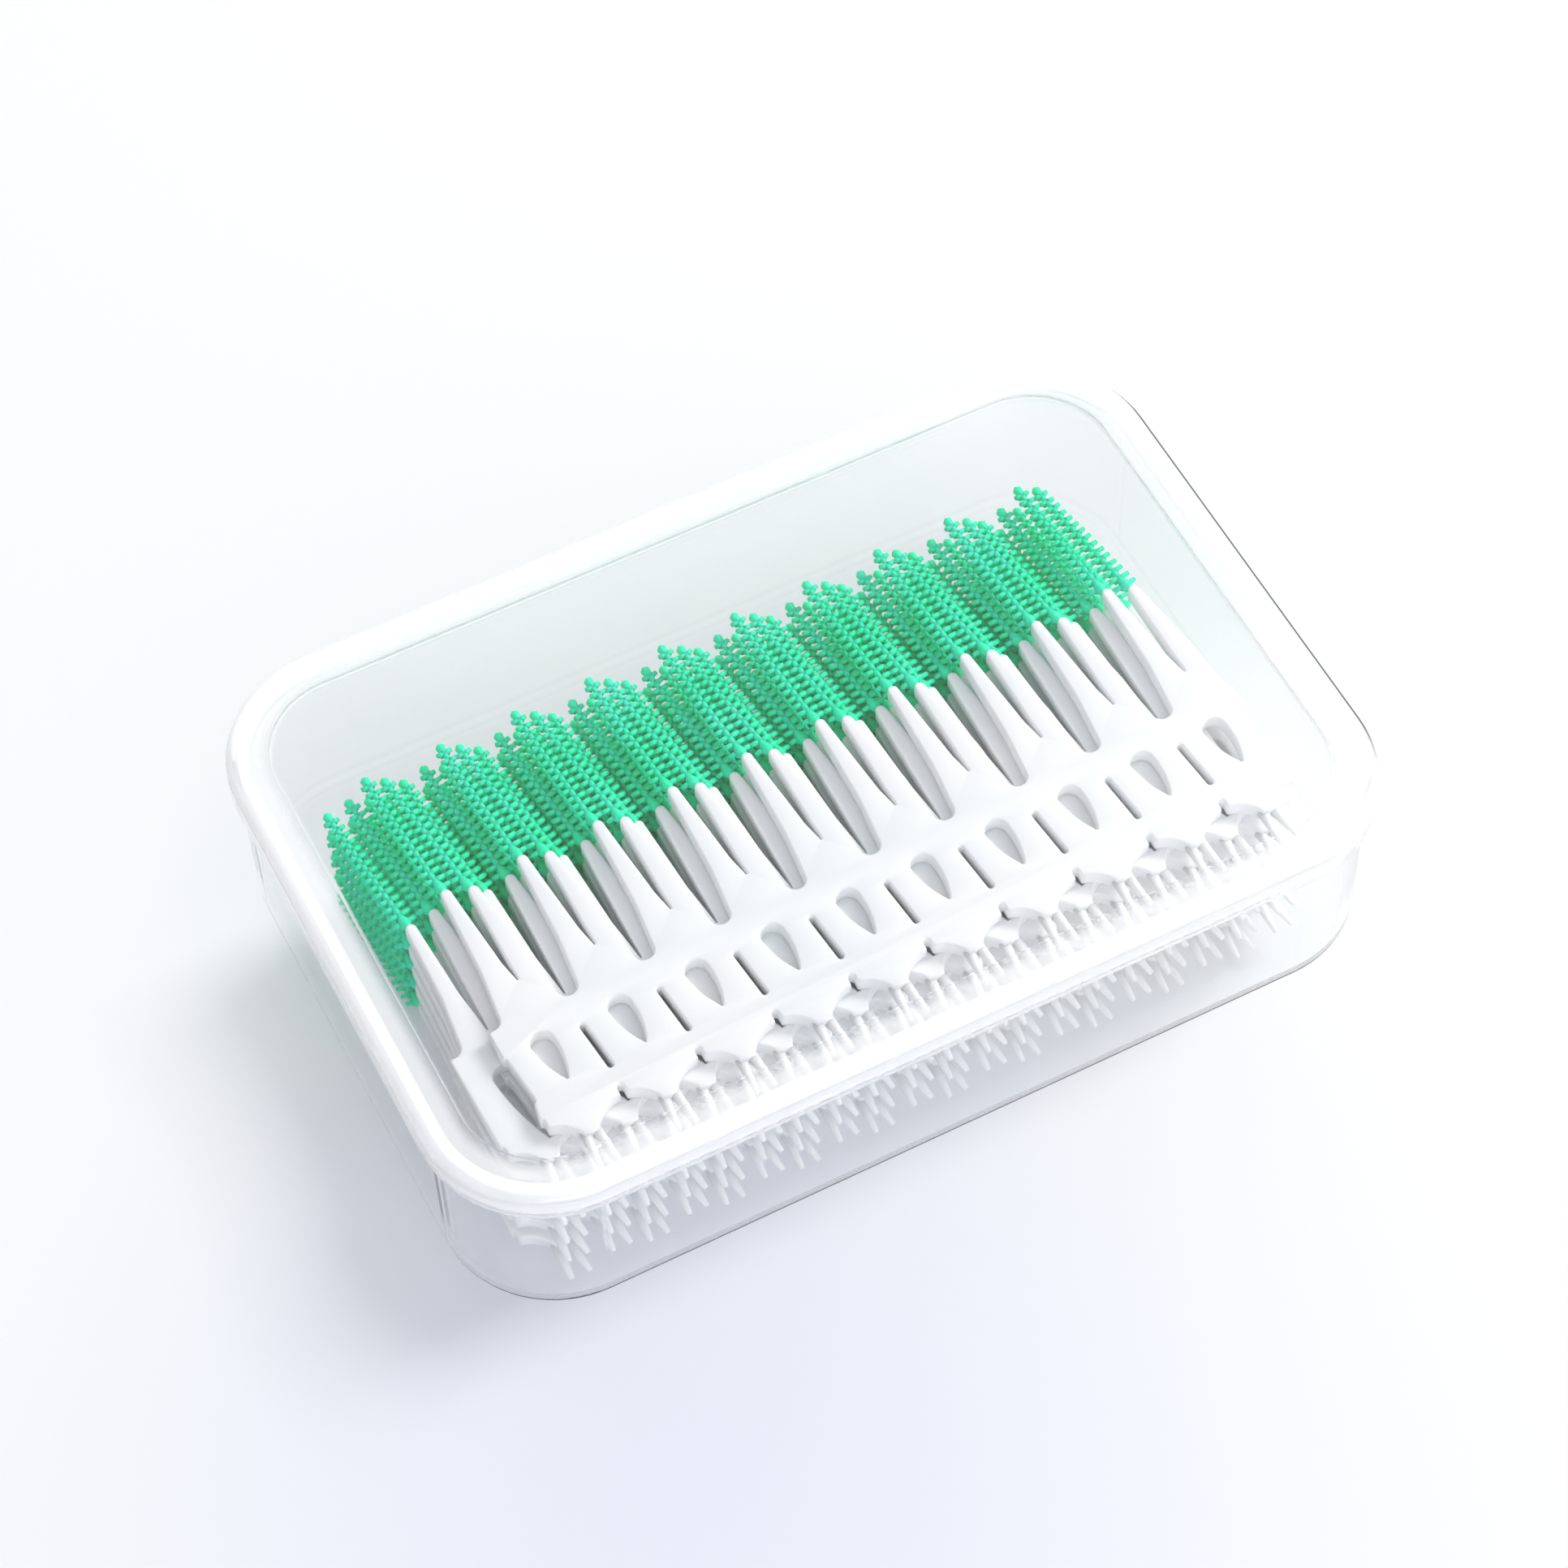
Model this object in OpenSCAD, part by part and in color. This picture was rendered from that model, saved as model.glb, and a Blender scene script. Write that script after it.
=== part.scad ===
// Clear push-fit case with a stack of moulded cards of double-ended interdental picks.
// Origin: centre of the case's underside. X runs along the case, Y towards the brush heads, Z up.

/* [Case] */
// Free room in the case to the left of the cards
left_room = 4.5; // [4.4:0.1:12]
// Free room to the right of the cards
right_room = 5.7; // [4.5:0.1:12]
// Free room in front of the pins
front_room = 2.3; // [2.2:0.1:6]
// Free room behind the brush heads
back_room = 11; // [5:0.5:20]
// Free room between the stack and the lid
head_room = 1.9; // [0.5:0.1:8]
// Plan radius of the rim's corners
corner_r = 12.8; // [8:0.1:13]
// How far the lower wall stands in from the rim, all round
wall_inset = 0.85; // [0.5:0.05:1.2]
// Thickness of the base's floor
floor_t = 1.2; // [0.8:0.1:2]
// Radius round the bottom edge
foot_r = 1.4; // [0.8:0.1:1.5]
// Height of the ledge that the lid's skirt comes down to
ledge_h = 0.8; // [0.5:0.1:1.5]

/* [Lid] */
// Thickness of the lid's top
lid_t = 1.2; // [0.8:0.1:1.6]
// Thickness of the lid's skirt
skirt_t = 1.1; // [0.8:0.05:1.3]
// Height of the lid over its skirt
lid_h = 2.35; // [2:0.05:4]
// Play between the skirt and the base's rim
fit_gap = 0.1; // [0.05:0.01:0.3]
// Open line between the skirt and the ledge
seam_gap = 0.15; // [0.1:0.01:0.4]
// Thickness of the base's rim inside the skirt
rim_t = 1.1; // [0.8:0.05:1.4]
// Radius round the lid's top edge
lid_edge_r = 1; // [0.3:0.05:1.05]
// Width of the raised border round the lid's clear panel
border_w = 4.3; // [3:0.1:6]
// How far the panel lies below the border
panel_drop = 0.4; // [0.2:0.05:0.5]

/* [Stack of cards] */
// Thickness of a card
card_t = 1.74; // [1.5:0.01:1.8]
// Play between two cards, and under the lowest
card_gap = 0.02; // [0.02:0.01:0.04]
// Units side by side on a card, each of two picks
units = 10; // [2:1:10]
// Width of a unit
unit_w = 8.2; // [7.8:0.05:8.3]
// How far the cards of the lower kind lie to the left of the others
row_shift = 4.2; // [3.6:0.1:4.4]
// Slight turn of the loose cards in the case, in degrees
row_turn = 1.2; // [0:0.1:1.4]

/* [Handle, from the middle of its hole] */
// Reach of the handle towards the pins
stub_v = 9.3; // [9:0.1:9.8]
// Radius of the hollow shoulder beside each pair of pins
shoulder_r = 3.5; // [3.2:0.05:3.6]
// Middle of the shoulder's hollow, towards the pins
shoulder_v = 10.4; // [10:0.1:10.8]
// How far the hollows lie to the left of the line between two units
shoulder_u = 0.35; // [0:0.05:0.5]
// Middle of the round bottom of the gap between two units' prongs
gap_v = 6; // [5.8:0.1:6.6]
// How far that gap lies to the right of the line between two units
gap_u = 0.55; // [0.4:0.05:0.9]
// Radius of its bottom
gap_r = 1.05; // [0.9:0.05:1.3]
// Width of the slot between two units
slot_w = 0.6; // [0.5:0.05:1]
// Near end of the slot, towards the prongs
slot_back = 1.65; // [1:0.05:2.4]
// Far end of the slot, towards the pins
slot_front = 4; // [3.5:0.05:4.4]
// Lean of the slots and holes, in degrees
slot_lean = 4.5; // [0:0.5:5]
// Start of the notch below the slot
notch_v = 5.9; // [5.6:0.05:6.2]
// Width of the notch
notch_w = 0.7; // [0.5:0.05:0.9]
// Radius of the drop-shaped hole's round end
hole_r = 1.2; // [1:0.05:1.5]
// Middle of its round end, towards the prongs
hole_back = 1.6; // [1.2:0.05:1.9]
// Its point, towards the pins
hole_front = 3.2; // [2.6:0.05:3.6]
// Radius of the round end of the lower kind's long opening, which stands there for hole and slot
long_r = 1.35; // [1:0.05:1.4]
// Middle of that round end, towards the prongs
long_back = 0.85; // [0.5:0.05:1.9]
// Point of the long opening, towards the pins
long_front = 7.3; // [4:0.1:7.4]

/* [Prongs, from the middle of the handle's hole] */
// Width of a prong at its end
prong_w = 1.12; // [1:0.02:1.5]
// Reach of the shorter prong of a pair
prong_v = 20.6; // [19.5:0.1:21]
// How much further the longer prong of an upper card's pair reaches
prong_step = 0.9; // [0.4:0.1:1]
// Where the prongs begin to narrow
waist_v = 11.3; // [10.5:0.1:12]
// Bottom of the slit between a pair of prongs, on the upper kind of card
upper_slit_v = 8.9; // [8:0.1:10]
// Bottom of that slit on the lower kind of card, where it is wider
lower_slit_v = 6.3; // [6:0.1:8]
// Radius of the thin core that runs on into the brush head
core_r = 0.3; // [0.25:0.01:0.34]
// Length of that core
core_l = 9; // [6:0.5:10]

/* [Pins, from the middle of the handle's hole] */
// Where the pins leave the handle
pin_root_v = 9; // [8.8:0.1:9.2]
// Where the pins end
pin_tip_v = 12.8; // [12:0.1:12.9]
// Distance between a pair's pins where they leave the handle
pin_root_gap = 1.1; // [1.05:0.05:1.3]
// Distance between a pair's points
pin_tip_gap = 1.85; // [1.4:0.05:2]
// Radius of a pin where it leaves the handle
pin_root_r = 0.5; // [0.4:0.01:0.52]
// Radius of its blunt point
pin_tip_r = 0.18; // [0.06:0.01:0.25]

/* [Brush heads] */
// Length of a brush head
head_l = 16.2; // [14:0.1:17]
// Radius of a head at the prong
head_r = 0.84; // [0.6:0.01:0.85]
// Radius of a plain head near its tip
head_tip_r = 0.6; // [0.45:0.01:0.65]
// Length of the rounded tip
tip_l = 0.6; // [0.3:0.05:1]
// Radius of the bare core that carries the bristles
spine_r = 0.56; // [0.5:0.01:0.62]
// Length of the solid collar over the prong's end
collar_l = 1.4; // [1:0.1:2]
// Reach of the first bristles from the middle of the head
bristle_root = 1.06; // [0.9:0.01:1.08]
// Reach of the last bristles
bristle_end = 0.66; // [0.6:0.01:0.7]
// Rows of bristles along a head
bristle_rows = 12; // [8:1:12]
// Play of the core in its head
core_gap = 0.02; // [0.01:0.01:0.03]

/* [Hidden] */
// Cards in the stack, of the upper and the lower kind in turn from the top down
cards = 10;
// Overrun of a cut past the face it opens
cut = 0.5;
// Facets of the circles that stand for true curves
$fn = 48;
// Facets of a small round part
round_fn = 24;
// Sides of a bristled head
spine_sides = 6;
// Share of a bristle row's length that its root takes
root_share = 0.4;
// Share of the head's radius at the very tip
tip_share = 0.45;
// Share of the collar's length before it narrows
collar_share = 0.5;

clear_white = [0.93, 0.96, 0.97, 0.35];
pick_white = [0.97, 0.97, 0.96];
brush_green = [0.28, 0.84, 0.59];

// The two kinds of card, upper and lower, alternate. Shares of a unit's width, to the right of the
// middle of the handle's hole: the prongs' ends, the tips of the heads on them, the bottom of the slit
// between the prongs, and the four edges of the two prongs at their waist.
upper_end_shares = [-0.095, 0.21];
upper_tip_shares = [-0.22, -0.025];
upper_slit_share = 0.118;
upper_waist_shares = [-0.22, 0.06, 0.122, 0.448];
lower_end_shares = [-0.11, 0.22];
lower_tip_shares = [-0.28, 0.025];
lower_slit_share = 0.073;
lower_waist_shares = [-0.22, 0, 0.107, 0.448];
// How far the left and right prongs stop short of the longest reach, as shares of the prong's step
upper_step_shares = [0, 1];
lower_step_shares = [1.05, 0.5];

rim_out = skirt_t + fit_gap;
inner_inset = rim_out + rim_t;
card_pitch = card_t + card_gap;
row_l = units * unit_w;
pick_front = pin_tip_v;
pick_back = prong_v + prong_step + head_l;
case_l = left_room + row_shift + row_l + right_room + 2 * inner_inset;
case_w = front_room + pick_front + pick_back + back_room + 2 * inner_inset;
case_h = floor_t + cards * card_pitch + head_room + lid_t;
half_l = case_l / 2;
half_w = case_w / 2;
rim_top = case_h - lid_t;
ledge_top = case_h - lid_h - seam_gap;
row_x = half_l - inner_inset - right_room - row_l / 2;
row_y = inner_inset + front_room + pick_front - half_w;

function is_upper(k) = (cards - k) % 2 == 0;
function unit_u(i) = (i - (units - 1) / 2) * unit_w;
function end_u(k, j) = unit_w * (is_upper(k) ? upper_end_shares[j] : lower_end_shares[j]);
function end_v(k, j) =
    prong_v + prong_step * (1 - (is_upper(k) ? upper_step_shares[j] : lower_step_shares[j]));
function tip_u(k, j) = unit_w * (is_upper(k) ? upper_tip_shares[j] : lower_tip_shares[j]);
function head_lean(k, j) = asin((end_u(k, j) - tip_u(k, j)) / head_l);
function waist_u(k, e) = unit_w * (is_upper(k) ? upper_waist_shares[e] : lower_waist_shares[e]);
function slit_bottom(k) =
    is_upper(k) ? [unit_w * upper_slit_share, upper_slit_v] : [unit_w * lower_slit_share, lower_slit_v];
// The prong's end j on card k, a step of half its width to the left (-1) or right (1) of its middle
function end_corner(k, j, side) = [end_u(k, j), end_v(k, j)]
    + side * prong_w / 2 * [cos(head_lean(k, j)), sin(head_lean(k, j))];

// Case

// A block with round corners in plan and a rounded bottom edge, exact all round
module soft_block(l, w, h, r, edge) {
    module profile() {
        square([r - edge, h]);
        translate([0, edge]) square([r, h - edge]);
        translate([r - edge, edge]) circle(edge);
    }
    translate([r - l / 2, r - w / 2, 0]) cube([l - 2 * r, w - 2 * r, h]);
    for (side = [0, 1]) {
        mirror([side, 0, 0]) translate([l / 2 - r, w / 2 - r, 0])
            rotate([90, 0, 0]) linear_extrude(w - 2 * r) profile();
        mirror([0, side, 0]) translate([r - l / 2, w / 2 - r, 0])
            rotate([90, 0, 90]) linear_extrude(l - 2 * r) profile();
        for (end = [0, 1])
            mirror([side, 0, 0]) mirror([0, end, 0]) translate([l / 2 - r, w / 2 - r, 0])
                rotate_extrude(angle = 90) profile();
    }
}

// A plate with round corners, standing in from the rim by inset
module rim_plate(inset, h) {
    r = corner_r - inset;
    linear_extrude(h) {
        square([case_l - 2 * inset, case_w - 2 * corner_r], center = true);
        square([case_l - 2 * corner_r, case_w - 2 * inset], center = true);
        for (sx = [-1, 1], sy = [-1, 1])
            translate([sx * (half_l - corner_r), sy * (half_w - corner_r)]) circle(r);
    }
}

module case_base() {
    color(clear_white) difference() {
        union() {
            soft_block(case_l - 2 * wall_inset, case_w - 2 * wall_inset, ledge_top,
                corner_r - wall_inset, foot_r);
            translate([0, 0, ledge_top - ledge_h]) rim_plate(0, ledge_h);
            translate([0, 0, ledge_top - ledge_h]) rim_plate(rim_out, rim_top - ledge_top + ledge_h);
        }
        translate([0, 0, floor_t]) rim_plate(inner_inset, case_h);
    }
}

module case_lid() {
    color(clear_white) difference() {
        translate([0, 0, case_h]) mirror([0, 0, 1])
            soft_block(case_l, case_w, lid_h, corner_r, lid_edge_r);
        translate([0, 0, rim_top - case_h]) rim_plate(skirt_t, case_h);
        translate([0, 0, case_h - panel_drop])
            soft_block(case_l - 2 * border_w, case_w - 2 * border_w, lid_h,
                corner_r - border_w, panel_drop);
    }
}

// Cards

// Places one card's shape in the stack, card 1 lowest
module in_stack(k) {
    shift = is_upper(k) ? 0 : row_shift;
    translate([row_x - shift, row_y, floor_t + card_gap + (k - 1) * card_pitch])
        rotate([0, 0, row_turn]) children();
}

// Outline of one unit of card k: handle and two prongs, with the slit between them
module unit_outline(k) {
    polygon([
        [-unit_w / 2, -stub_v], [-unit_w / 2, gap_v], [gap_u + gap_r - unit_w / 2, gap_v],
        [waist_u(k, 0), waist_v], end_corner(k, 0, -1), end_corner(k, 0, 1), [waist_u(k, 1), waist_v],
        slit_bottom(k),
        [waist_u(k, 2), waist_v], end_corner(k, 1, -1), end_corner(k, 1, 1), [waist_u(k, 3), waist_v],
        [unit_w / 2 + gap_u - gap_r, gap_v], [unit_w / 2, gap_v], [unit_w / 2, -stub_v]
    ]);
}

// Drop-shaped hole: a round end that runs smoothly into two flatter arcs meeting in a point
module drop(back, front, r) {
    reach = back + front;
    side_r = (reach * reach + r * r) / (2 * r);
    rotate([0, 0, slot_lean]) translate([0, back]) {
        circle(r);
        intersection() {
            translate([side_r - r, 0]) circle(side_r);
            translate([r - side_r, 0]) circle(side_r);
            translate([-r, -reach - r]) square([2 * r, reach + r]);
        }
    }
}

// What opens the line between two units: gap, slot, notch and the shoulders' hollow
module between_units(has_slot) {
    translate([gap_u, gap_v]) circle(gap_r);
    if (has_slot) rotate([0, 0, slot_lean]) {
        translate([-slot_w / 2, slot_w / 2 - slot_front]) square([slot_w, slot_front + slot_back - slot_w]);
        for (v = [slot_w / 2 - slot_front, slot_back - slot_w / 2])
            translate([0, v]) circle(slot_w / 2);
    }
    translate([0, -notch_v - notch_w / 2]) circle(notch_w / 2);
    translate([-notch_w / 2, -shoulder_v]) square([notch_w, shoulder_v - notch_v - notch_w / 2]);
    translate([-shoulder_u, -shoulder_v]) circle(shoulder_r);
}

// A pin from its root to its blunt point, in the middle of the card's thickness
module pin(side) {
    spread = side * (pin_tip_gap - pin_root_gap) / 2;
    reach = norm([spread, pin_tip_v - pin_root_v]);
    translate([side * pin_root_gap / 2, -pin_root_v, card_t / 2])
        rotate([90, 0, asin(spread / reach)])
            cylinder(h = reach, r1 = pin_root_r, r2 = pin_tip_r, $fn = round_fn);
}

// A card: handles joined by webs, prongs with their thin cores, and pins
module card(k) {
    color(pick_white) in_stack(k) {
        linear_extrude(card_t) difference() {
            for (i = [0 : units - 1]) translate([unit_u(i), 0]) unit_outline(k);
            for (i = [0 : units - 1]) translate([unit_u(i), 0])
                if (is_upper(k)) drop(hole_back, hole_front, hole_r);
                else drop(long_back, long_front, long_r);
            for (i = [0 : units]) translate([unit_u(i) - unit_w / 2, 0]) between_units(is_upper(k));
        }
        for (i = [0 : units - 1], side = [-1, 1])
            translate([unit_u(i) - shoulder_u, 0, 0]) pin(side);
        on_prongs(k)
            translate([0, 0, -cut]) cylinder(h = core_l + cut, r = core_r, $fn = round_fn);
    }
}

// Brush heads

// Stands a shape on the end of every prong of card k, +Z along the head and X sideways
module on_prongs(k) {
    for (i = [0 : units - 1], j = [0, 1])
        translate([unit_u(i) + end_u(k, j), end_v(k, j), card_t / 2])
            rotate([-90, 0, head_lean(k, j)]) children();
}

// A plain soft head: a tapered body, a blunt tip and a blind hole for the core
module plain_head() {
    difference() {
        union() {
            cylinder(h = head_l - tip_l, r1 = head_r, r2 = head_tip_r, $fn = round_fn);
            translate([0, 0, head_l - tip_l])
                cylinder(h = tip_l, r1 = head_tip_r, r2 = head_tip_r * tip_share, $fn = round_fn);
        }
        translate([0, 0, -cut])
            cylinder(h = core_l + core_gap + cut, r = core_r + core_gap, $fn = round_fn);
    }
}

// A bristled head: a six-sided core whose two side faces rise into rows of four-sided bristles.
// Each ring is [height, radius]; the faces between a row's two rings carry its bristles.
module bristled_head() {
    row_step = (head_l - collar_l - tip_l) / bristle_rows;
    rows = [for (m = [0 : bristle_rows - 1]) collar_l + m * row_step];
    rings = concat(
        [[0, head_r], [collar_l * collar_share, head_r]],
        [for (z = rows, part = [1 - root_share, 1]) [z + part * row_step, spine_r]],
        [[head_l, spine_r * tip_share]]
    );
    bore_r = (core_r + core_gap) / cos(180 / spine_sides);
    bore_end = core_l + core_gap;
    all_rings = concat([[0, bore_r]], rings);
    n = spine_sides;
    points = concat(
        [for (r = all_rings, s = [0 : n - 1]) [r[1] * cos((s - 0.5) * 360 / n),
            r[1] * sin((s - 0.5) * 360 / n), r[0]]],
        [for (s = [0 : n - 1]) [bore_r * cos((s - 0.5) * 360 / n),
            bore_r * sin((s - 0.5) * 360 / n), bore_end]],
        [[0, 0, bore_end], [0, 0, head_l]],
        [for (m = [0 : bristle_rows - 1], way = [1, -1])
            let (share = m / (bristle_rows - 1))
            [way * (bristle_root + share * (bristle_end - bristle_root)), 0,
                rows[m] + (1 - root_share / 2) * row_step]]
    );
    ring_n = len(all_rings);
    bore_base = ring_n * n;
    bore_mid = bore_base + n;
    tip_mid = bore_mid + 1;
    bristle_base = tip_mid + 1;
    // The four corners of the face s above ring q
    function corners(q, s) = [q * n + s, q * n + (s + 1) % n, (q + 1) * n + (s + 1) % n, (q + 1) * n + s];
    function row_at(q) = (q >= 3 && q < ring_n - 2 && q % 2 == 1) ? (q - 3) / 2 : -1;
    function has_bristle(q, s) = row_at(q) >= 0 && s % (n / 2) == 0;
    faces = concat(
        [for (q = [0 : ring_n - 2], s = [0 : n - 1]) if (!has_bristle(q, s))
            let (c = corners(q, s)) each [[c[0], c[2], c[1]], [c[0], c[3], c[2]]]],
        [for (q = [0 : ring_n - 2], s = [0 : n - 1]) if (has_bristle(q, s))
            let (c = corners(q, s), top = bristle_base + 2 * row_at(q) + (s == 0 ? 0 : 1))
            each [for (e = [0 : 3]) [c[e], top, c[(e + 1) % 4]]]],
        [for (s = [0 : n - 1]) let (t = (s + 1) % n)
            each [[s, t, bore_base + t], [s, bore_base + t, bore_base + s],
                [bore_base + s, bore_base + t, bore_mid]]],
        [for (s = [0 : n - 1]) [(ring_n - 1) * n + s, tip_mid, (ring_n - 1) * n + (s + 1) % n]]
    );
    polyhedron(points, faces);
}

// The twenty separate heads of one card
module brushes(k) {
    color(brush_green) in_stack(k) on_prongs(k)
        if (k == cards) bristled_head();
        else plain_head();
}

case_base();
case_lid();
card(1);  // card_01
card(2);  // card_02
card(3);  // card_03
card(4);  // card_04
card(5);  // card_05
card(6);  // card_06
card(7);  // card_07
card(8);  // card_08
card(9);  // card_09
card(10);  // card_10
brushes(1);  // brushes_01
brushes(2);  // brushes_02
brushes(3);  // brushes_03
brushes(4);  // brushes_04
brushes(5);  // brushes_05
brushes(6);  // brushes_06
brushes(7);  // brushes_07
brushes(8);  // brushes_08
brushes(9);  // brushes_09
brushes(10);  // brushes_10
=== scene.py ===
"""Clear push-fit case with ten moulded cards of double-ended interdental picks."""

import math

import bpy
import bmesh
from mathutils import Matrix, Vector


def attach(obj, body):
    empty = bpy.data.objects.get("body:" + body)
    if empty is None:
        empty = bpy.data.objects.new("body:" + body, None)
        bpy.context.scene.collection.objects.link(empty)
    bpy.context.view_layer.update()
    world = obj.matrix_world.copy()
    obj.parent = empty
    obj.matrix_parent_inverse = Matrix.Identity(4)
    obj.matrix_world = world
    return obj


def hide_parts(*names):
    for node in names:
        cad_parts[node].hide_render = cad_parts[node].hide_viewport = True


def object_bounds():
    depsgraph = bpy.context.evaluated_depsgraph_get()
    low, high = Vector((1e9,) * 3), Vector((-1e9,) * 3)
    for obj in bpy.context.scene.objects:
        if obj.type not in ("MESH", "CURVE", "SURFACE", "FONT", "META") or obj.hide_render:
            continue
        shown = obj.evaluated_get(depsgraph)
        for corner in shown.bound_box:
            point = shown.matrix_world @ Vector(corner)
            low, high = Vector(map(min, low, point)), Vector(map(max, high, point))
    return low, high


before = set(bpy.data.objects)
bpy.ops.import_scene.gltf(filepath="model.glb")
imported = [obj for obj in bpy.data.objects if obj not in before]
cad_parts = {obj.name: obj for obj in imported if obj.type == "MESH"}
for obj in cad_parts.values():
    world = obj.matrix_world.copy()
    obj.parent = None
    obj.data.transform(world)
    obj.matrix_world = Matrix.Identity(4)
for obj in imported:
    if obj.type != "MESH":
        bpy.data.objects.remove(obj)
cad_low, cad_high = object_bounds()


# Camera
# A long lens that looks down over the case's left front corner. The picture is square, 1932 x 1932,
# and the focal length in its pixels and the three directions come from the case's rim and the cards.
picture_side = 1932
focal_pixels = 5488
sensor_width = 36
nearest_seen = 0.01
camera_place = Vector((-0.10758, -0.22171, 0.37756))
view_right = Vector((0.8892, -0.4570, -0.0202))
view_forward = Vector((0.2430, 0.5093, -0.8256)).normalized()
view_up = view_right.cross(view_forward).normalized()
view_right = view_forward.cross(view_up).normalized()

camera_data = bpy.data.cameras.new("camera")
camera_data.sensor_width = sensor_width
camera_data.lens = sensor_width * focal_pixels / picture_side
camera_data.clip_start = nearest_seen
camera = bpy.data.objects.new("camera", camera_data)
bpy.context.scene.collection.objects.link(camera)
turn = Matrix((view_right, view_up, -view_forward)).transposed().to_4x4()
camera.matrix_world = Matrix.Translation(camera_place) @ turn
bpy.context.scene.camera = camera


# Table, light and air
# A smooth pale table top under a large soft window light from the right, with pale room light all
# round. The table glows a little to the camera, in gloss and through the clear case.
table_side = 3.0
table_tone = (0.78, 0.78, 0.775)
# Painted shade on the table in front of the case's left front: its colour at the middle, its middle, its
# reach
painted_shade_tone = (0.655, 0.675, 0.737)
painted_shade_middle = (-0.04, -0.055)
painted_shade_reach = 0.088
glow_tone = (0.88, 0.9, 1.0)
glow_level = 0.125

room_tone = (0.945, 0.95, 1.0)
# Each patch of the room: the way to it, the angles inside which it is full and past which there is
# none of it, and the light it adds outside and inside
room_patches = (
    ((0.22, 0.52, 0.83), 13, 22, 0.56, 0.2),       # the dim ceiling in the room's even light
    ((0.42, 0.33, 0.845), 8, 12.5, 0.0, 1.0),      # a window pane
    ((0.15, -1.0, 0.3), 20, 50, 0.0, 1.35),        # the window in front
    ((0.24, 0.788, 0.567), 18.6, 20.2, 0.0, 0.9),  # a bright wall
)

window_place = Vector((1.2, 0.2, 1.05))
window_side = 0.6
window_power = 16.5
window_tone = (1.0, 0.995, 0.96)


def new_material(name):
    material = bpy.data.materials.new(name)
    material.use_nodes = True
    material.node_tree.nodes.clear()
    return material


def add_node(tree, kind, inputs=None, **settings):
    """A new node with its settings made. Each input takes a plain value or another node's output."""
    node = tree.nodes.new(kind)
    for name, value in settings.items():
        setattr(node, name, value)
    for name, value in (inputs or {}).items():
        if isinstance(value, bpy.types.NodeSocket):
            tree.links.new(value, node.inputs[name])
        else:
            node.inputs[name].default_value = value
    return node


def add_math(tree, operation, *terms):
    return add_node(tree, "ShaderNodeMath", dict(enumerate(terms)), operation=operation).outputs[0]


def add_vector_math(tree, operation, *terms):
    node = add_node(tree, "ShaderNodeVectorMath", dict(enumerate(terms)), operation=operation)
    return node.outputs["Value" if operation in ("LENGTH", "DOT_PRODUCT") else "Vector"]


def add_range(tree, value, from_low, from_high, to_low, to_high, interpolation="SMOOTHSTEP"):
    given = {"Value": value, "From Min": from_low, "From Max": from_high, "To Min": to_low,
             "To Max": to_high}
    return add_node(tree, "ShaderNodeMapRange", given, interpolation_type=interpolation).outputs["Result"]


def add_ramp(tree, value, *stops, interpolation="LINEAR"):
    """A colour ramp through the given stops, each a position and a colour."""
    node = add_node(tree, "ShaderNodeValToRGB", {"Fac": value})
    node.color_ramp.interpolation = interpolation
    elements = node.color_ramp.elements
    for element, (position, colour) in zip(elements, (stops[0], stops[-1])):
        element.position = position
        element.color = (*colour, 1)
    for position, colour in stops[1:-1]:
        elements.new(position).color = (*colour, 1)
    return node.outputs["Color"]


table_mesh = bpy.data.meshes.new("table_top")
table_mesh.from_pydata(
    [(x * table_side / 2, y * table_side / 2, 0) for x, y in ((-1, -1), (1, -1), (1, 1), (-1, 1))],
    [], [(0, 1, 2, 3)])
table_top = bpy.data.objects.new("table_top", table_mesh)
bpy.context.scene.collection.objects.link(table_top)

table_white = new_material("table_white")
tree = table_white.node_tree
place = add_node(tree, "ShaderNodeTexCoord")
# Painted shade: the table turns cooler and darker towards the patch's middle
from_painted_shade = add_node(tree, "ShaderNodeMapping", {
    "Location": (-painted_shade_middle[0], -painted_shade_middle[1], 0), "Vector": place.outputs["Object"]})
distance = add_vector_math(tree, "LENGTH", from_painted_shade.outputs["Vector"])
tone = add_ramp(tree, distance, (0.0, painted_shade_tone), (painted_shade_reach, table_tone), interpolation="EASE")
surface = add_node(tree, "ShaderNodeBsdfPrincipled", {
    "Base Color": tone, "Roughness": 0.6, "Specular IOR Level": 0.2})
ray = add_node(tree, "ShaderNodeLightPath")
seen = add_math(tree, "MAXIMUM", ray.outputs["Is Camera Ray"], ray.outputs["Is Glossy Ray"])
seen = add_math(tree, "MAXIMUM", seen, ray.outputs["Is Transmission Ray"])
glow = add_node(tree, "ShaderNodeEmission", {
    "Color": (*glow_tone, 1), "Strength": add_math(tree, "MULTIPLY", seen, glow_level)})
both = add_node(tree, "ShaderNodeAddShader", {0: surface.outputs[0], 1: glow.outputs[0]})
add_node(tree, "ShaderNodeOutputMaterial", {"Surface": both.outputs[0]})
table_mesh.materials.append(table_white)

room = bpy.data.worlds.new("room")
room.use_nodes = True
tree = room.node_tree
way = add_node(tree, "ShaderNodeTexCoord")
level = None
for aim, full, none, outside, inside in room_patches:
    closeness = add_vector_math(tree, "DOT_PRODUCT", way.outputs["Generated"], Vector(aim).normalized())
    patch = add_range(tree, closeness, math.cos(math.radians(none)), math.cos(math.radians(full)),
                      outside, inside)
    level = patch if level is None else add_math(tree, "ADD", level, patch)
air = tree.nodes["Background"]
air.inputs["Color"].default_value = (*room_tone, 1)
tree.links.new(level, air.inputs["Strength"])
bpy.context.scene.world = room

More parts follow.
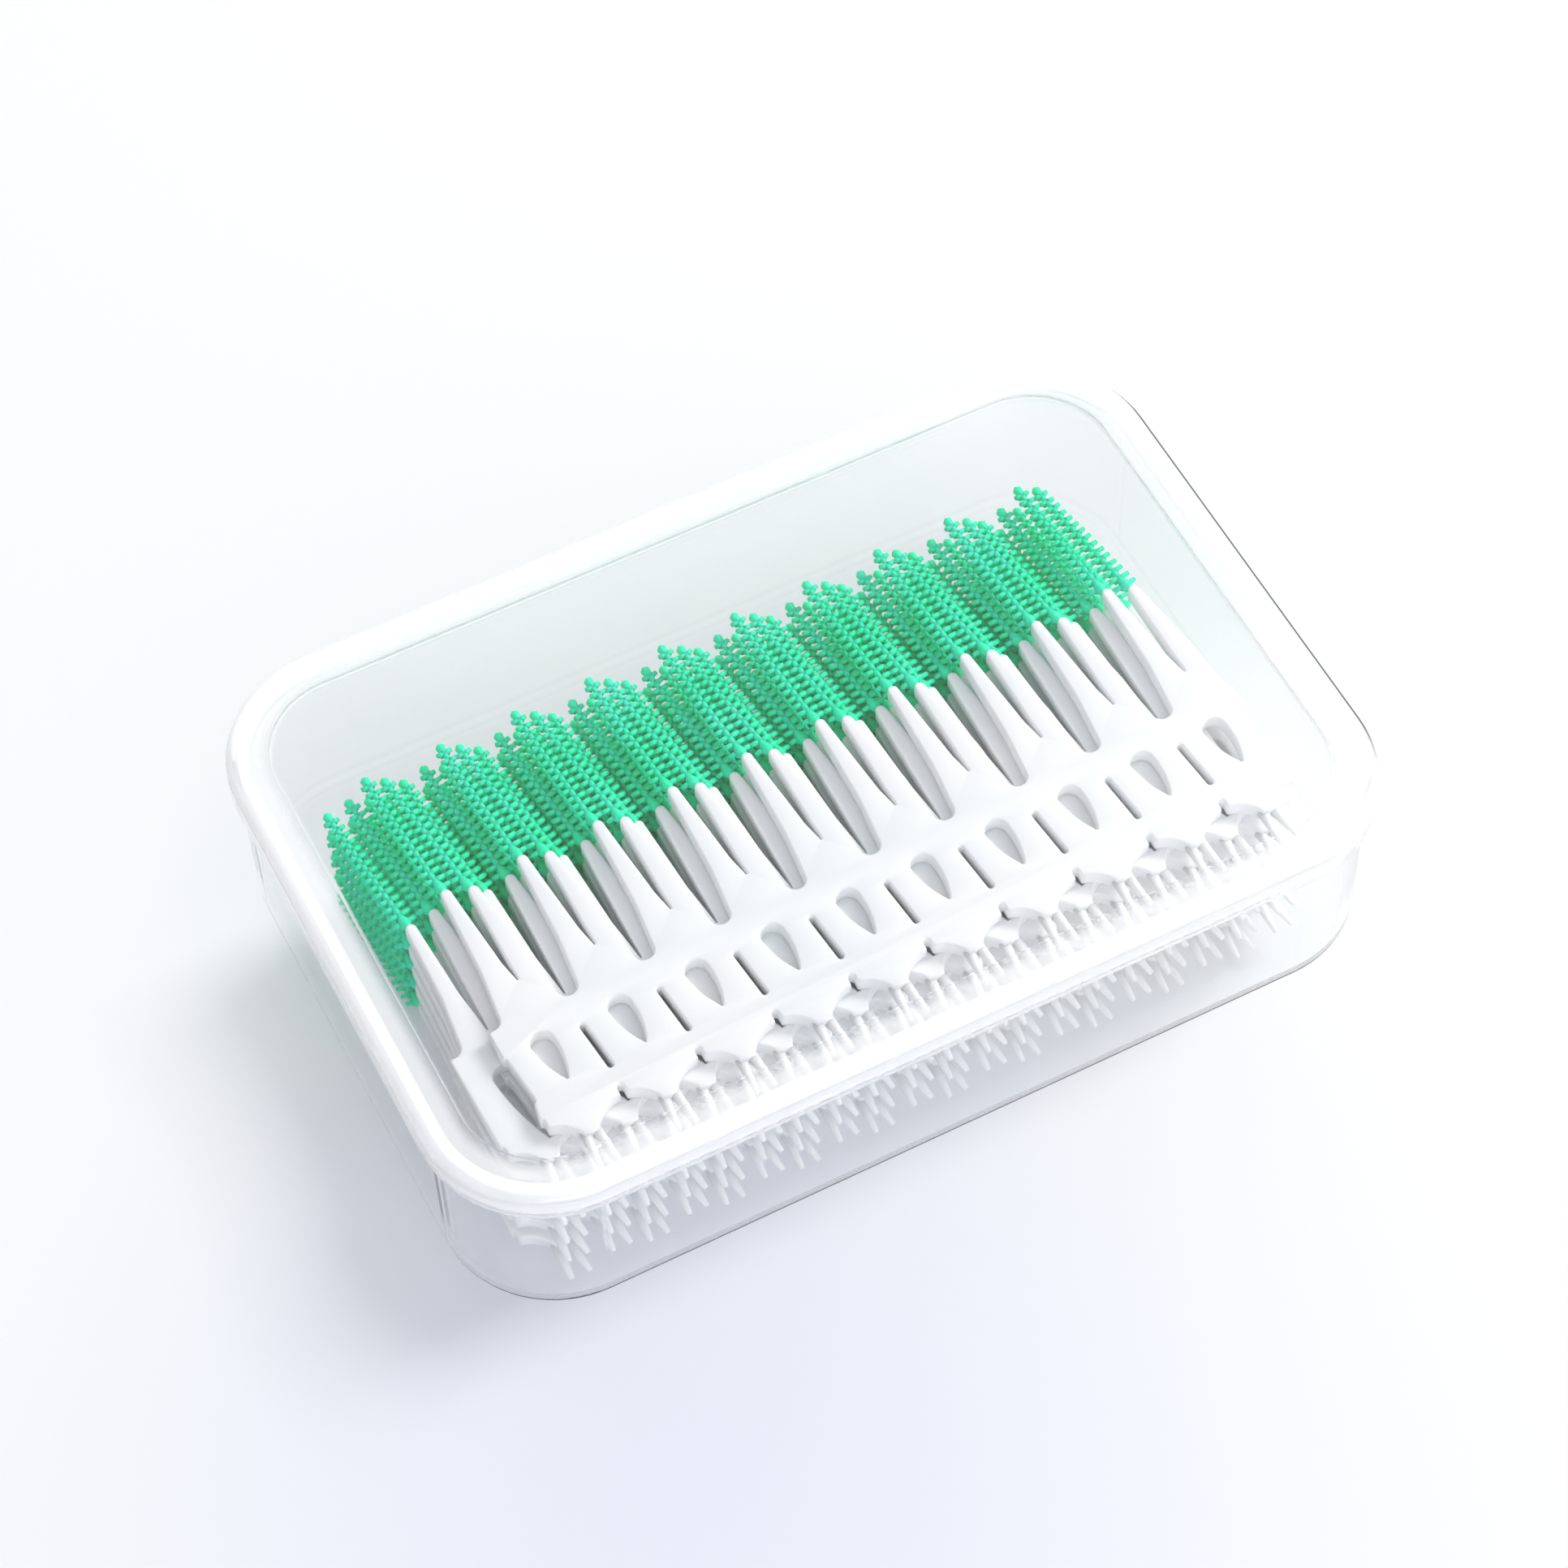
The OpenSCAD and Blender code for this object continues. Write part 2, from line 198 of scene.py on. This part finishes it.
window_data = bpy.data.lights.new("window_right", "AREA")
window_data.shape = "SQUARE"
window_data.size = window_side
window_data.energy = window_power
window_data.color = window_tone
window_right = bpy.data.objects.new("window_right", window_data)
window_right.location = window_place
window_right.rotation_euler = (-window_place).to_track_quat("-Z", "Y").to_euler()
window_right.visible_glossy = False
bpy.context.scene.collection.objects.link(window_right)

bpy.context.scene.view_settings.view_transform = "Standard"


# Clear case
# A shallow base and a push-fit lid, injection moulded in clear polypropylene with walls of about 1.2 mm, with
# the slight haze and the faint unevenness of a moulded wall. The rim and the lid's border are milkier, partly
# haze and partly painted reflection of their rounded edges, with a painted dark line along the lid's outer
# ends and painted contact shade round the foot.
case_half = ((cad_high[0] - cad_low[0]) / 2, (cad_high[1] - cad_low[1]) / 2)
case_corner = 0.0128
border_width = 0.0041
border_blend = (-0.0006, 0.0012)
ledge_height = 0.0186
ledge_blend = 0.0012
edge_width = 0.0012
edge_fade = 0.007
foot_height = 0.002
above_case = 1
# The colour of the painted dark line on the lid's outer ends and of the painted contact shade round the foot
painted_line_tone = (0.1, 0.105, 0.11)
# Where the painted dark line, by the outer edge's normal from -1 to 1 as 0 to 1, starts to turn dark, is
# dark, and ends
lid_edge_normal = (0.72, 0.84, 0.985, 0.997)
foot_normal = (0.03, 0.1, 0.38, 0.47)
passing_tone = (0.99, 0.992, 0.994)
# Each part's tint, its clear share, and its milkier share on the rim or border: haze and painted reflection
base_tint, base_clear, base_sheen_and_haze = (0.98, 0.99, 0.995), 0.97, 0.75
lid_tint, lid_clear, lid_sheen_and_haze = (0.99, 0.995, 1.0), 0.99, 0.6


def lid_shares(tree, spot):
    """How much of a spot is border, milkier with haze and painted reflection, and how much may take the
    painted dark line along the ends' outer edges.
    """
    folded = add_vector_math(tree, "ABSOLUTE", spot)
    corner_middle = (case_half[0] - case_corner, case_half[1] - case_corner, above_case)
    past = add_vector_math(tree, "SUBTRACT", folded, corner_middle)
    reach = add_vector_math(tree, "LENGTH", add_vector_math(tree, "MAXIMUM", past))
    inner = case_corner - border_width
    border = (reach, inner + border_blend[0], inner + border_blend[1])
    outermost = add_math(tree, "GREATER_THAN", reach, case_corner - edge_width)
    past_corner = add_node(tree, "ShaderNodeSeparateXYZ", {0: past}).outputs["Y"]
    straight = add_range(tree, past_corner, 0.0, edge_fade, 1.0, 0.0)
    return border, add_math(tree, "MULTIPLY", outermost, straight)


def base_shares(tree, spot):
    """How much of a spot is rim, milkier with haze and painted reflection, and how much may take the painted
    contact shade round the foot.
    """
    height = add_node(tree, "ShaderNodeSeparateXYZ", {0: spot}).outputs["Z"]
    rim = (height, ledge_height - ledge_blend, ledge_height)
    return rim, add_math(tree, "LESS_THAN", height, foot_height)


def clear_plastic(name, tint, clear_share, sheen_and_haze_share, shares, line_axis, line_normal):
    """Clear plastic, milkier on its rim or border, partly haze and partly painted reflection of the rounded
    edges, with a thin painted dark line where its edge turns away.
    """
    material = new_material(name)
    tree = material.node_tree
    place = add_node(tree, "ShaderNodeTexCoord")
    sheen_and_haze, may_be_line = shares(tree, place.outputs["Object"])
    turned = add_node(tree, "ShaderNodeSeparateXYZ", {0: place.outputs["Normal"]}).outputs[line_axis]
    facing = add_range(tree, turned, -1, 1, 0, 1, "LINEAR")
    colours = ((0, 0, 0), (1, 1, 1), (1, 1, 1), (0, 0, 0))
    band = add_ramp(tree, facing, *zip(line_normal, colours))
    wave = add_node(tree, "ShaderNodeTexNoise", {
        "Scale": 60, "Detail": 2, "Vector": place.outputs["Object"]})
    bump = add_node(tree, "ShaderNodeBump", {
        "Strength": 0.02, "Distance": 0.001, "Height": wave.outputs["Fac"]})
    wall = add_node(tree, "ShaderNodeBsdfPrincipled", {
        "Base Color": (*tint, 1), "Roughness": 0.05, "IOR": 1.49, "Normal": bump.outputs["Normal"],
        "Transmission Weight": add_range(tree, *sheen_and_haze, clear_share, sheen_and_haze_share)})
    # The painted dark line and painted contact shade: a dark diffuse mixed in over the band of turned-away
    # normals
    shade = add_node(tree, "ShaderNodeBsdfDiffuse", {"Color": (*painted_line_tone, 1)})
    lined = add_node(tree, "ShaderNodeMixShader", {
        0: add_math(tree, "MULTIPLY", band, may_be_line), 1: wall.outputs[0], 2: shade.outputs[0]})
    clear = add_node(tree, "ShaderNodeBsdfTransparent", {"Color": (*passing_tone, 1)})
    ray = add_node(tree, "ShaderNodeLightPath")
    passing = add_math(tree, "MAXIMUM", ray.outputs["Is Shadow Ray"], ray.outputs["Is Diffuse Ray"])
    mix = add_node(tree, "ShaderNodeMixShader", {0: passing, 1: lined.outputs[0], 2: clear.outputs[0]})
    add_node(tree, "ShaderNodeOutputMaterial", {"Surface": mix.outputs[0]})
    return material


def dress(node, material):
    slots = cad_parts[node].data.materials
    slots.clear()
    slots.append(material)


dress("case_base", clear_plastic("clear_base_plastic", base_tint, base_clear, base_sheen_and_haze, base_shares,
                                 "Z", foot_normal))
dress("case_lid", clear_plastic("clear_lid_plastic", lid_tint, lid_clear, lid_sheen_and_haze, lid_shares,
                                "X", lid_edge_normal))


# Cards of picks
# Ten loose cards lie on each other. Each is one white polypropylene moulding of ten units side by side,
# snapped apart at the slots when used: a flat handle with a drop-shaped hole, two round-edged prongs
# for the brush heads at one end and two pins at the other.
mm = 0.001
card_count = 10
unit_count = 10
unit_width = 8.2
half_unit = unit_width / 2
card_thickness = 1.74
card_pitch = 1.76
lowest_card = 1.22
stack_x, stack_y = 1.5, -16.8
lower_shift = 4.2
stack_turn = math.radians(1.2)
edge_radius = 0.24
edge_rings = 2

# Prongs, in mm from the middle of a unit's handle, or in shares of its width
prong_width = 1.12
prong_reach = 20.6
prong_step = 0.9
waist_along = 11.3
head_length = 16.2
slit_radius = 0.07

# The gaps between two units' prongs, the hollows beside the pins, the notches and the slots
gap_radius, gap_across, gap_along = 1.05, 0.55, 6.0
hollow_radius, hollow_across, hollow_along, handle_end = 3.5, 0.35, 10.4, 9.3
notch_radius, notch_along = 0.35, 5.9
slot_radius, slot_back, slot_front = 0.3, 1.65, 4
slot_lean = math.radians(4.5)
drop_share = 0.97

# Steps of the round parts
gap_steps, tip_steps, slit_steps, slot_steps, hole_slot_steps = 10, 8, 6, 5, 8
hollow_steps, notch_steps, drop_steps, drop_side_steps = 8, 8, 14, 9

weld_distance = 1e-7

pin_root, pin_tip = (0.55, -8.8), (0.925, -12.8)
pin_root_radius, pin_tip_radius, pin_sides = 0.6, 0.26, 12

# The two kinds of card, which lie on each other by turns. In shares of a unit's width: the ends of the
# prongs, the tips of the heads, the bottom of the slit between them and the four sides of the waist.
kinds = {
    "upper": {"ends": (-0.095, 0.21), "tips": (-0.22, -0.025), "slit": (0.118, 8.9),
              "waist": (-0.22, 0.06, 0.122, 0.415), "steps": (0, 1), "hole": (1.2, 1.6, 3.2)},
    "lower": {"ends": (-0.11, 0.22), "tips": (-0.28, 0.025), "slit": (0.073, 6.3),
              "waist": (-0.22, 0, 0.107, 0.415), "steps": (1.05, 0.5), "hole": (1.35, 0.85, 7.3)},
}


def kind_of(card):
    return "upper" if (card_count - card) % 2 == 0 else "lower"


def unit_middle(unit):
    return (unit - (unit_count - 1) / 2) * unit_width


def prong_end(kind, side):
    """Where a prong of a unit ends, and how far it leans to the left."""
    shape = kinds[kind]
    end = Vector((shape["ends"][side] * unit_width, prong_reach + prong_step * (1 - shape["steps"][side])))
    lean = math.asin((shape["ends"][side] - shape["tips"][side]) * unit_width / head_length)
    return end, lean


def arc(centre, radius, start, stop, steps):
    angles = [math.radians(start + (stop - start) * s / steps) for s in range(steps + 1)]
    return [(centre[0] + radius * math.cos(a), centre[1] + radius * math.sin(a)) for a in angles]


def leaned(points, line):
    """The points of a slot or hole, leaned to the left about the middle of the given line."""
    c, s = math.cos(slot_lean), math.sin(slot_lean)
    return [(line + c * x - s * y, s * x + c * y) for x, y in points]


def slot_end(end, start, stop, steps):
    along = slot_back - slot_radius if end == "back" else slot_radius - slot_front
    return arc((0, along), slot_radius, start, stop, steps)


def round_slit(bottom, left_wall, right_wall):
    """The bottom of the slit between two prongs: a fan of points that opens it to a small radius."""
    low = Vector(bottom)
    left, right = (Vector(w) - low for w in (left_wall, right_wall))
    start = math.degrees(math.atan2(left.y, left.x)) + 90
    stop = math.degrees(math.atan2(right.y, right.x)) - 90
    if stop < start - 1:
        stop += 360
    return arc(low + Vector((0, slit_radius)), slit_radius, start, stop, slit_steps)


def prong_outline(kind, u):
    """The two prongs of a unit and the slit between them, from the left one's waist to the right one's."""
    shape = kinds[kind]
    waist = [(u + share * unit_width, waist_along) for share in shape["waist"]]
    outline = []
    for side in (0, 1):
        end, lean = prong_end(kind, side)
        across = Vector((math.cos(lean), math.sin(lean))) * prong_width / 2
        tip = end + Vector((u, 0)) - Vector((-across.y, across.x))
        start = 180 + math.degrees(lean)
        outline.append(waist[2 * side])
        outline += arc(tip, prong_width / 2, start, start - 180, tip_steps)
        outline.append(waist[2 * side + 1])
        if side == 0:
            share, along = shape["slit"]
            outline += round_slit((u + share * unit_width, along), waist[1], waist[2])
    return outline


def shoulders(unit, right):
    """The pins' side of the outline at the line left of a unit: hollows and notch, from right to left."""
    line = unit_middle(unit) - half_unit if unit < unit_count else right
    hollow = (line - hollow_across, -hollow_along)
    notch = (line, -notch_along - notch_radius)
    reach = math.degrees(math.asin((hollow_along - handle_end) / hollow_radius))
    join = math.degrees(math.acos((notch_radius + hollow_across) / hollow_radius))
    outline = []
    if unit == unit_count:
        outline += arc(notch, notch_radius, 90, 180, notch_steps // 2)
    else:
        outline += arc(hollow, hollow_radius, reach, join, hollow_steps)
        outline += arc(notch, notch_radius, 0, 180 if unit else 90, notch_steps if unit else notch_steps // 2)
    if unit:
        outline += arc(hollow, hollow_radius, 90, 180 - reach, hollow_steps)
    return outline


def drop_outline(round_radius, back, front):
    """A drop-shaped hole: half a circle at the back, and two flat arcs that meet at its point."""
    reach = back + front
    side_radius = (reach * reach + round_radius * round_radius) / (2 * round_radius)
    sweep = math.degrees(math.asin(reach / side_radius)) * drop_share
    outline = arc((0, back), round_radius, 0, 180, drop_steps)
    outline += arc((side_radius - round_radius, back), side_radius, 180, 180 + sweep, drop_side_steps)[1:]
    outline += arc((round_radius - side_radius, back), side_radius, -sweep, 0, drop_side_steps)[:-1]
    return outline


def card_loops(kind):
    """The card's outline and the outlines of its holes and slots, in mm from its middle."""
    left, right = -unit_count * half_unit, unit_count * half_unit
    gap_start = 180 + math.degrees(math.acos(gap_across / gap_radius))
    outline, holes = [], []
    for unit in range(unit_count):
        u = unit_middle(unit)
        gap = (u - half_unit + gap_across, gap_along)
        outline += arc(gap, gap_radius, 180 if unit else gap_start, 360, gap_steps)
        outline += prong_outline(kind, u)
    outline += [(right + gap_across - gap_radius, gap_along)]
    outline += arc((right + gap_across, gap_along), gap_radius, 190, gap_start, gap_steps // 2)
    if kind == "upper":
        slot_side = slot_end("back", 90, 180, slot_steps) + slot_end("front", 180, 270, slot_steps)
        outline += leaned(slot_side, right)
    for unit in reversed(range(unit_count + 1)):
        outline += shoulders(unit, right)
    if kind == "upper":
        slot_side = slot_end("front", -90, 0, slot_steps) + slot_end("back", 0, 90, slot_steps)
        outline += leaned(slot_side, left)
    for unit in range(unit_count):
        u = unit_middle(unit)
        holes.append(leaned(drop_outline(*kinds[kind]["hole"]), u))
        if unit and kind == "upper":
            slot = slot_end("back", 0, 180, hole_slot_steps) + slot_end("front", 180, 360, hole_slot_steps)
            holes.append(leaned(slot, u - half_unit))
    return [outline] + holes


def plain_mesh(maker):
    """The finished mesh of a helper object, which is then removed."""
    bpy.context.scene.collection.objects.link(maker)
    mesh = bpy.data.meshes.new_from_object(maker.evaluated_get(bpy.context.evaluated_depsgraph_get()))
    bpy.data.objects.remove(maker)
    return mesh


def plate_mesh(name, loops, thickness, edge):
    """A flat moulding with round edges: its outline and holes, filled, raised and rounded."""
    curve = bpy.data.curves.new(name, "CURVE")
    curve.dimensions = "2D"
    curve.fill_mode = "BOTH"
    curve.extrude = (thickness / 2 - edge) * mm
    curve.bevel_depth = edge * mm
    curve.bevel_resolution = edge_rings
    curve.offset = -edge * mm
    for loop in loops:
        spline = curve.splines.new("POLY")
        spline.points.add(len(loop) - 1)
        for point, (x, y) in zip(spline.points, loop):
            point.co = (x * mm, y * mm, 0, 1)
        spline.use_cyclic_u = True
    mesh = plain_mesh(bpy.data.objects.new(name, curve))
    bpy.data.curves.remove(curve)
    return mesh


def card_place(card):
    """Where a card lies in the stack."""
    shift = 0 if kind_of(card) == "upper" else lower_shift
    height = lowest_card + (card - 1) * card_pitch + card_thickness / 2
    place = Vector((stack_x - shift, stack_y, height)) * mm
    return Matrix.Translation(place) @ Matrix.Rotation(stack_turn, 4, "Z")


def add_pins(shaped):
    """Two slim pins with blunt points under each handle."""
    for unit in range(unit_count):
        middle = unit_middle(unit) - hollow_across
        for side in (-1, 1):
            root = Vector((middle + side * pin_root[0], pin_root[1], 0))
            tip = Vector((middle + side * pin_tip[0], pin_tip[1], 0))
            along = tip - root
            turn = Vector((0, 0, 1)).rotation_difference(along).to_matrix().to_4x4()
            bmesh.ops.create_cone(
                shaped, cap_ends=True, segments=pin_sides, radius1=pin_root_radius * mm,
                radius2=pin_tip_radius * mm, depth=along.length * mm,
                matrix=Matrix.Translation((root + along / 2) * mm) @ turn)


pick_white = new_material("pick_white_moulding")
tree = pick_white.node_tree
place = add_node(tree, "ShaderNodeTexCoord").outputs["Object"]
cloud = add_node(tree, "ShaderNodeTexNoise", {"Scale": 45, "Detail": 2, "Vector": place})
tone = add_ramp(tree, cloud.outputs["Fac"], (0.35, (0.87, 0.90, 0.905)), (0.65, (0.93, 0.93, 0.925)))
grain = add_node(tree, "ShaderNodeTexNoise", {"Scale": 2500, "Detail": 3, "Vector": place})
bump = add_node(tree, "ShaderNodeBump", {
    "Strength": 0.12, "Distance": 0.0001, "Height": grain.outputs["Fac"]})
surface = add_node(tree, "ShaderNodeBsdfPrincipled", {
    "Base Color": tone, "Roughness": 0.38, "IOR": 1.49, "Normal": bump.outputs["Normal"],
    "Subsurface Weight": 0.25, "Subsurface Radius": (1.0, 1.0, 1.0), "Subsurface Scale": 0.0006})
add_node(tree, "ShaderNodeOutputMaterial", {"Surface": surface.outputs[0]})

moulds = {}
for kind in kinds:
    mesh = plate_mesh("card_" + kind, card_loops(kind), card_thickness, edge_radius)
    shaped = bmesh.new()
    shaped.from_mesh(mesh)
    bmesh.ops.remove_doubles(shaped, verts=shaped.verts, dist=weld_distance)
    bmesh.ops.recalc_face_normals(shaped, faces=shaped.faces)
    add_pins(shaped)
    for face in shaped.faces:
        face.smooth = True
    shaped.to_mesh(mesh)
    shaped.free()
    mesh.materials.clear()
    mesh.materials.append(pick_white)
    moulds[kind] = mesh

for card in range(1, card_count + 1):
    mesh = moulds[kind_of(card)].copy()
    mesh.transform(card_place(card))
    piece = bpy.data.objects.new(f"pick_card_{card:02d}", mesh)
    bpy.context.scene.collection.objects.link(piece)
    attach(piece, f"card_{card:02d}")
    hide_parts(f"card_{card:02d}")


# Brush heads
# A soft green elastomer head is moulded over the end of every prong: a slim core with a smooth collar
# at its root, rows of short blunt bristles to both sides, shorter ones underneath, and a round tip.
collar_length = 0.45
core_radius = 0.62
core_sides, core_rings = 12, 34
side_reach_root, side_reach_tip = 1.28, 0.84
back_reach_root, back_fall = 0.8, 0.22
bristle_radius = 0.31
bristle_sides = 6
bristle_rows, bristles_around = 15, 5
first_row = 0.4
tip_room = 0.75
side_cosine = 0.9
# The core's radius along the head, in shares of both
core_profile = ((0, 0.5), (1, 0), (0.02, 0.98), (0.05, 1.0), (0.09, 0.58), (0.5, 0.46), (0.92, 0.44),
                (0.955, 0.84), (0.978, 0.8))
# A bristle of length 1: its straight stem and its rounded end
stem_length, stem_end_radius, knob_end_radius = 0.9, 0.9, 0.5
unevenness = ((-0.06, -0.06, -0.02), (0.06, 0.06, 0.10))
first_seed = 7

brush_green = new_material("brush_green_elastomer")
tree = brush_green.node_tree
place = add_node(tree, "ShaderNodeTexCoord").outputs["Object"]
cloud = add_node(tree, "ShaderNodeTexNoise", {"Scale": 120, "Detail": 2, "Vector": place})
tone = add_ramp(tree, cloud.outputs["Fac"], (0.3, (0.004, 0.93, 0.42)), (0.7, (0.04, 0.98, 0.56)))
surface = add_node(tree, "ShaderNodeBsdfPrincipled", {
    "Base Color": tone, "Roughness": 0.42, "IOR": 1.45,
    "Subsurface Weight": 0.5, "Subsurface Radius": (0.2, 1.0, 0.6), "Subsurface Scale": 0.0008})
add_node(tree, "ShaderNodeOutputMaterial", {"Surface": surface.outputs[0]})


def heads_tree():
    """Stands a bristled head on each given point, +Z along the point's aim and +X along its side."""
    tree = bpy.data.node_groups.new("bristled_heads", "GeometryNodeTree")
    face = tree.interface
    face.new_socket("Geometry", in_out="INPUT", socket_type="NodeSocketGeometry")
    for name, value in (("Length", head_length), ("Collar", collar_length), ("Core Radius", core_radius),
                        ("Side Reach Root", side_reach_root), ("Side Reach Tip", side_reach_tip),
                        ("Back Reach", back_reach_root), ("Bristle Radius", bristle_radius)):
        face.new_socket(name, in_out="INPUT", socket_type="NodeSocketFloat").default_value = value * mm
    for name, value in (("Rows", bristle_rows), ("Around", bristles_around), ("Seed", first_seed)):
        face.new_socket(name, in_out="INPUT", socket_type="NodeSocketInt").default_value = value
    face.new_socket("Material", in_out="INPUT", socket_type="NodeSocketMaterial")
    face.new_socket("Geometry", in_out="OUTPUT", socket_type="NodeSocketGeometry")
    given = tree.nodes.new("NodeGroupInput").outputs

    def add(kind, inputs=None, **settings):
        return add_node(tree, kind, inputs, **settings)

    def maths(operation, *terms):
        return add_math(tree, operation, *terms)

    def vector(x, y, z):
        return add("ShaderNodeCombineXYZ", {0: x, 1: y, 2: z}).outputs[0]

    def joined(*parts):
        join = add("GeometryNodeJoinGeometry")
        for part in parts:
            tree.links.new(part.outputs[0], join.inputs[0])
        return join

    def own_vector(name):
        node = add("GeometryNodeInputNamedAttribute", {"Name": name}, data_type="FLOAT_VECTOR")
        return node.outputs["Attribute"]

    # The core: a round bar whose radius follows the profile
    line = add("GeometryNodeCurvePrimitiveLine", {"End": vector(0, 0, given["Length"])})
    points = add("GeometryNodeResampleCurve", {"Count": core_rings, "Curve": line.outputs[0]})
    along = add("GeometryNodeSplineParameter")
    profile = add("ShaderNodeFloatCurve", {"Value": along.outputs["Factor"]})
    knots = profile.mapping.curves[0].points
    knots[0].location, knots[1].location = core_profile[:2]
    for spot in core_profile[2:]:
        knots.new(*spot)
    for knot in knots:
        knot.handle_type = "AUTO_CLAMPED"
    profile.mapping.update()
    bar = add("GeometryNodeSetCurveRadius", {
        "Curve": points.outputs[0],
        "Radius": maths("MULTIPLY", profile.outputs[0], given["Core Radius"])})
    ring = add("GeometryNodeCurvePrimitiveCircle", {"Resolution": core_sides, "Radius": 1.0})
    core = add("GeometryNodeCurveToMesh", {
        "Fill Caps": True, "Curve": bar.outputs[0], "Profile Curve": ring.outputs[0]})
    if "Scale" in core.inputs:
        radius = add("GeometryNodeInputRadius")
        tree.links.new(radius.outputs[0], core.inputs["Scale"])

    # The bristles: one point each, numbered round each row, in a fan from side to side underneath
    spots = add("GeometryNodeMeshLine", {"Count": maths("MULTIPLY", given["Rows"], given["Around"])})
    number = add("GeometryNodeInputIndex").outputs[0]
    row = maths("FLOOR", maths("DIVIDE", number, given["Around"]))
    place_in_row = maths("MODULO", number, given["Around"])
    fan = maths("DIVIDE", math.pi, maths("SUBTRACT", given["Around"], 1))
    angle = maths("MULTIPLY", place_in_row, fan)
    is_side = maths("GREATER_THAN", maths("ABSOLUTE", maths("COSINE", angle)), side_cosine)
    room = maths("SUBTRACT", maths("SUBTRACT", given["Length"], given["Collar"]), tip_room * mm)
    pitch = maths("DIVIDE", room, given["Rows"])
    height = maths("ADD", given["Collar"], maths("MULTIPLY", maths("ADD", row, first_row), pitch))
    share = maths("DIVIDE", row, maths("SUBTRACT", given["Rows"], 1))
    side_fall = maths("SUBTRACT", given["Side Reach Tip"], given["Side Reach Root"])
    side_reach = maths("ADD", given["Side Reach Root"], maths("MULTIPLY", share, side_fall))
    back_share = maths("SUBTRACT", 1.0, maths("MULTIPLY", share, back_fall))
    back_reach = maths("MULTIPLY", given["Back Reach"], back_share)
    reach = maths("ADD", maths("MULTIPLY", is_side, side_reach),
                  maths("MULTIPLY", maths("SUBTRACT", 1.0, is_side), back_reach))
    seat = add("GeometryNodeSetPosition", {
        "Geometry": spots.outputs[0], "Position": vector(0, 0, height)})
    jitter = add("FunctionNodeRandomValue", {
        "Min": unevenness[0], "Max": unevenness[1], "Seed": given["Seed"]}, data_type="FLOAT_VECTOR")
    way_out = vector(maths("COSINE", angle), maths("SINE", angle), 0.0)
    outward = add_vector_math(tree, "ADD", way_out, jitter.outputs[0])
    stand = add("FunctionNodeAlignRotationToVector", {"Vector": outward}, axis="Z")
    stem = add("GeometryNodeMeshCone", {
        "Vertices": bristle_sides, "Side Segments": 1, "Radius Top": stem_end_radius,
        "Radius Bottom": 1.0, "Depth": stem_length})
    knob = add("GeometryNodeMeshCone", {
        "Vertices": bristle_sides, "Radius Top": knob_end_radius, "Radius Bottom": stem_end_radius,
        "Depth": 1 - stem_length})
    knob = add("GeometryNodeTransform", {
        "Translation": (0, 0, stem_length), "Geometry": knob.outputs["Mesh"]})
    size = vector(given["Bristle Radius"], given["Bristle Radius"], reach)
    sown = add("GeometryNodeInstanceOnPoints", {
        "Points": seat.outputs[0], "Instance": joined(stem, knob).outputs[0],
        "Rotation": stand.outputs[0], "Scale": size})

    # A whole head stands on each point, and all of them become one plain mesh
    pose = add("FunctionNodeAxesToRotation", {
        "Primary Axis": own_vector("aim"), "Secondary Axis": own_vector("side")},
        primary_axis="Z", secondary_axis="X")
    stood = add("GeometryNodeInstanceOnPoints", {
        "Points": given["Geometry"], "Instance": joined(core, sown).outputs[0],
        "Rotation": pose.outputs[0]})
    real = add("GeometryNodeRealizeInstances", {0: stood.outputs[0]})
    smooth = add("GeometryNodeSetShadeSmooth", {0: real.outputs[0]})
    paint = add("GeometryNodeSetMaterial", {
        "Geometry": smooth.outputs[0], "Material": given["Material"]})
    add("NodeGroupOutput", {0: paint.outputs[0]})
    return tree


def head_points(card):
    """A bare point on the end of each prong, which knows which way its head points and its side."""
    kind = kind_of(card)
    at = card_place(card)
    spots, aims, sides = [], [], []
    for unit in range(unit_count):
        for side in (0, 1):
            end, lean = prong_end(kind, side)
            spots.append(at @ (Vector((unit_middle(unit) + end.x, end.y, 0)) * mm))
            aims.append(at.to_3x3() @ Vector((-math.sin(lean), math.cos(lean), 0)))
            sides.append(at.to_3x3() @ Vector((math.cos(lean), math.sin(lean), 0)))
    mesh = bpy.data.meshes.new(f"head_points_{card:02d}")
    mesh.from_pydata(spots, [], [])
    for name, values in (("aim", aims), ("side", sides)):
        mesh.attributes.new(name, "FLOAT_VECTOR", "POINT").data.foreach_set(
            "vector", [c for v in values for c in v])
    return mesh


head_tree = heads_tree()
head_inputs = {i.name: i.identifier for i in head_tree.interface.items_tree if i.in_out == "INPUT"}

for card in range(1, card_count + 1):
    maker = bpy.data.objects.new("head_maker", head_points(card))
    growth = maker.modifiers.new("heads", "NODES")
    growth.node_group = head_tree
    growth[head_inputs["Material"]] = brush_green
    growth[head_inputs["Seed"]] = card
    piece = bpy.data.objects.new(f"brush_heads_{card:02d}", plain_mesh(maker))
    bpy.context.scene.collection.objects.link(piece)
    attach(piece, f"card_{card:02d}")
    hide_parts(f"brushes_{card:02d}")
